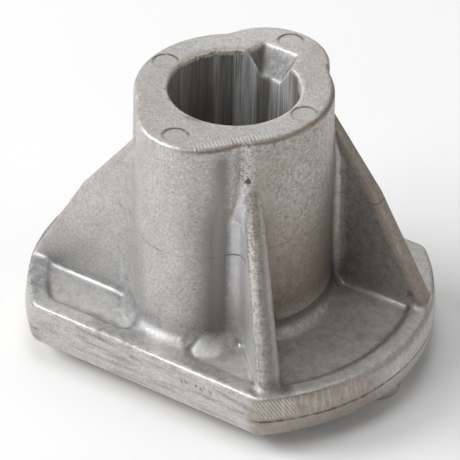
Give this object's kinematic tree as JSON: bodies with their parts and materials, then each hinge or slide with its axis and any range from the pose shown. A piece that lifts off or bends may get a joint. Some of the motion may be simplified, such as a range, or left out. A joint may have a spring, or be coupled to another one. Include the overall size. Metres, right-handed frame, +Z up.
{
  "type": "mower blade adapter",
  "caption": "Cast hub with a keyed shaft bore on a flat-sided plate, braced by offset gussets and ribs, with pegs below that drive a mower blade.",
  "frame": {"origin": "on the shaft bore's axis, at the plate's underside where the blade seats", "axes": "+Z up the bore towards the hub's top, +X along the plate's two flats towards one drive peg, +Y towards the key slot"},
  "size_m": [0.0708, 0.0538, 0.0497],
  "materials": {
    "cast_aluminium": "matt die-cast skin, light warm grey, lightly stained"
  },
  "bodies": {
    "root": {"blade_adapter": "cast_aluminium"}
  },
  "joints": []
}
